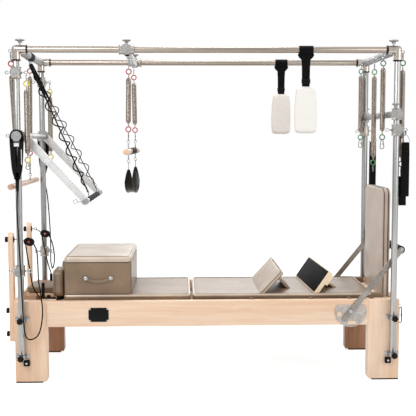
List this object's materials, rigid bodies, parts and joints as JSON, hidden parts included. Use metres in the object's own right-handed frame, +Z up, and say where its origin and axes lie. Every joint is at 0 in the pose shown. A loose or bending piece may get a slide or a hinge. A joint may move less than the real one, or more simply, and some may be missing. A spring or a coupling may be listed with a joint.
{
  "type": "pilates trapeze table",
  "caption": "Wooden carriage table under a tube canopy, with springs, a push-through bar, a hanging trapeze, loops, straps, a sitting box, a mat and a jump board",
  "frame": {"origin": "on the floor under the middle of the table, at the middle of the underside of its bounding box", "axes": "+X along the table towards the jump board's end, +Y across it towards the back side, +Z up"},
  "size_m": [2.4536, 1.0141, 2.062],
  "materials": {
    "maple_wood": "clear satin lacquer",
    "bar_wood": "clear satin lacquer",
    "canopy_tube": "brushed, light silver",
    "canopy_corner": "polished",
    "clamp_metal": "bead blasted",
    "spring_wire": "plated wire",
    "taupe_cover": "matt upholstery",
    "black_web": "woven",
    "fleece": "long pile",
    "black_rope": "braided",
    "black_cord": "smooth",
    "pulley_body": "moulded",
    "grey_plate": "bead blasted"
  },
  "bodies": {
    "table_frame": {"leg_head_front": "maple_wood", "upright_head_front": "canopy_tube", "leg_head_back": "maple_wood", "upright_head_back": "canopy_tube", "leg_foot_front": "maple_wood", "upright_foot_front": "canopy_tube", "leg_foot_back": "maple_wood", "upright_foot_back": "canopy_tube", "side_rail_front": "maple_wood", "footbar_plate_front": "grey_plate", "top_rail_front": "canopy_tube", "pulley_front": "pulley_body", "rope_front": "black_rope", "push_bar_cord_front": "black_cord", "side_rail_back": "maple_wood", "footbar_plate_back": "grey_plate", "top_rail_back": "canopy_tube", "pulley_back": "pulley_body", "rope_back": "black_rope", "push_bar_cord_back": "black_cord", "head_frame": "maple_wood", "foot_rail": "maple_wood", "canopy_end_head": "canopy_corner", "canopy_end_foot": "canopy_corner", "push_bar_mount": "clamp_metal"},
    "arm_clamp_front": {"arm_clamp_front": "clamp_metal"},
    "arm_spring_front": {"arm_spring_front": "spring_wire"},
    "strap_clamp_front": {"strap_clamp_front": "clamp_metal"},
    "foot_strap_front": {"foot_strap_front": "black_web"},
    "arm_clamp_back": {"arm_clamp_back": "clamp_metal"},
    "arm_spring_back": {"arm_spring_back": "spring_wire"},
    "strap_clamp_back": {"strap_clamp_back": "clamp_metal"},
    "foot_strap_back": {"foot_strap_back": "black_web"},
    "cross_clamp": {"cross_clamp": "clamp_metal"},
    "leg_spring_outer": {"leg_spring_outer": "spring_wire"},
    "leg_spring_front": {"leg_spring_front": "spring_wire"},
    "leg_spring_middle": {"leg_spring_middle": "spring_wire"},
    "leg_spring_back": {"leg_spring_back": "spring_wire"},
    "roll_down": {"roll_down_bar": "maple_wood", "roll_down_spring_front": "spring_wire", "roll_down_spring_back": "spring_wire"},
    "push_through_bar": {"push_through_bar": "clamp_metal"},
    "trapeze_slider": {"trapeze_slider": "clamp_metal"},
    "trapeze": {"trapeze_bar": "bar_wood", "trapeze_spring_front": "spring_wire", "trapeze_spring_back": "spring_wire"},
    "fleece_loop_front": {"fleece_loop_front": "fleece"},
    "fleece_loop_back": {"fleece_loop_back": "fleece"},
    "carriage": {"carriage_deck": "maple_wood", "carriage_pad": "taupe_cover", "headrest": "taupe_cover", "shoulder_rest_front": "taupe_cover", "shoulder_rest_back": "taupe_cover"},
    "sitting_box": {"sitting_box": "taupe_cover", "box_handle": "taupe_cover"},
    "mat_converter": {"mat_converter": "taupe_cover"},
    "wedge_pad": {"wedge_pad": "taupe_cover"},
    "grip_board": {"grip_board": "maple_wood"},
    "jump_board": {"jump_board": "taupe_cover"},
    "footbar": {"footbar": "grey_plate"}
  },
  "joints": [
    {"name": "arm_clamp_front_slide", "type": "slide", "parent": "table_frame", "child": "arm_clamp_front", "axis": [0, 0, 1], "range_m": [0, 0.008]},
    {"name": "arm_spring_front_swing", "type": "hinge", "parent": "arm_clamp_front", "child": "arm_spring_front", "pos_m": [-1.04747, -0.435, 1.868], "axis": [0, -1, 0], "range_deg": [0, 15]},
    {"name": "strap_clamp_front_slide", "type": "slide", "parent": "table_frame", "child": "strap_clamp_front", "axis": [0, 0, 1], "range_m": [-0.12, 0.015]},
    {"name": "foot_strap_front_swing", "type": "hinge", "parent": "strap_clamp_front", "child": "foot_strap_front", "pos_m": [1.19954, -0.435, 1.531], "axis": [0, -1, 0], "range_deg": [0, 15]},
    {"name": "arm_clamp_back_slide", "type": "slide", "parent": "table_frame", "child": "arm_clamp_back", "axis": [0, 0, 1], "range_m": [0, 0.008]},
    {"name": "arm_spring_back_swing", "type": "hinge", "parent": "arm_clamp_back", "child": "arm_spring_back", "pos_m": [-1.04747, 0.435, 1.868], "axis": [0, -1, 0], "range_deg": [0, 15]},
    {"name": "strap_clamp_back_slide", "type": "slide", "parent": "table_frame", "child": "strap_clamp_back", "axis": [0, 0, 1], "range_m": [-0.12, 0.015]},
    {"name": "foot_strap_back_swing", "type": "hinge", "parent": "strap_clamp_back", "child": "foot_strap_back", "pos_m": [1.19954, 0.435, 1.531], "axis": [0, -1, 0], "range_deg": [0, 15]},
    {"name": "cross_clamp_slide", "type": "slide", "parent": "table_frame", "child": "cross_clamp", "axis": [0, 0, 1], "range_m": [-0.02, 0.15]},
    {"name": "leg_spring_outer_swing", "type": "hinge", "parent": "table_frame", "child": "leg_spring_outer", "pos_m": [1.18354, -0.4, 1.992], "axis": [0, -1, 0], "range_deg": [0, 15]},
    {"name": "leg_spring_front_swing", "type": "hinge", "parent": "table_frame", "child": "leg_spring_front", "pos_m": [1.10153, -0.25, 1.992], "axis": [0, 1, 0], "range_deg": [0, 15]},
    {"name": "leg_spring_middle_swing", "type": "hinge", "parent": "table_frame", "child": "leg_spring_middle", "pos_m": [1.09553, -0.04, 1.992], "axis": [0, 1, 0], "range_deg": [0, 15]},
    {"name": "leg_spring_back_swing", "type": "hinge", "parent": "table_frame", "child": "leg_spring_back", "pos_m": [1.10153, 0.395, 1.992], "axis": [0, 1, 0], "range_deg": [0, 15]},
    {"name": "roll_down_swing", "type": "hinge", "parent": "table_frame", "child": "roll_down", "pos_m": [-1.13847, 0, 1.992], "axis": [0, 1, 0], "range_deg": [0, 20]},
    {"name": "push_bar_turn", "type": "hinge", "parent": "table_frame", "child": "push_through_bar", "pos_m": [-1.07797, 0, 1.498], "axis": [0, -1, 0], "range_deg": [0, 60], "deforming": ["push_bar_cord_front", "push_bar_cord_back"]},
    {"name": "trapeze_slide", "type": "slide", "parent": "table_frame", "child": "trapeze_slider", "axis": [1, 0, 0], "range_m": [-0.05, 0.85]},
    {"name": "trapeze_swing", "type": "hinge", "parent": "trapeze_slider", "child": "trapeze", "pos_m": [-0.45897, 0, 1.96], "axis": [0, 1, 0], "range_deg": [-15, 15]},
    {"name": "fleece_loop_front_swing", "type": "hinge", "parent": "table_frame", "child": "fleece_loop_front", "pos_m": [0.59803, -0.435, 2.002], "axis": [1, 0, 0], "range_deg": [-10, 10]},
    {"name": "fleece_loop_back_swing", "type": "hinge", "parent": "table_frame", "child": "fleece_loop_back", "pos_m": [0.55204, 0.435, 2.002], "axis": [1, 0, 0], "range_deg": [-10, 10]},
    {"name": "carriage_slide", "type": "slide", "parent": "table_frame", "child": "carriage", "axis": [1, 0, 0], "range_m": [-0.012, 0.008], "deforming": ["rope_front", "rope_back"]},
    {"name": "sitting_box_lift", "type": "slide", "parent": "carriage", "child": "sitting_box", "axis": [0, 0, 1], "range_m": [0, 0.15]},
    {"name": "mat_converter_lift", "type": "slide", "parent": "table_frame", "child": "mat_converter", "axis": [0, 0, 1], "range_m": [0, 0.1]},
    {"name": "wedge_pad_lift", "type": "slide", "parent": "mat_converter", "child": "wedge_pad", "axis": [0, 0, 1], "range_m": [0, 0.15]},
    {"name": "grip_board_lift", "type": "slide", "parent": "mat_converter", "child": "grip_board", "axis": [0, 0, 1], "range_m": [0, 0.15]},
    {"name": "jump_board_lift", "type": "slide", "parent": "table_frame", "child": "jump_board", "axis": [0, 0, 1], "range_m": [0, 0.1]},
    {"name": "footbar_tilt", "type": "hinge", "parent": "table_frame", "child": "footbar", "pos_m": [0.88904, 0, 0.43], "axis": [0, 1, 0], "range_deg": [0, 40]}
  ]
}
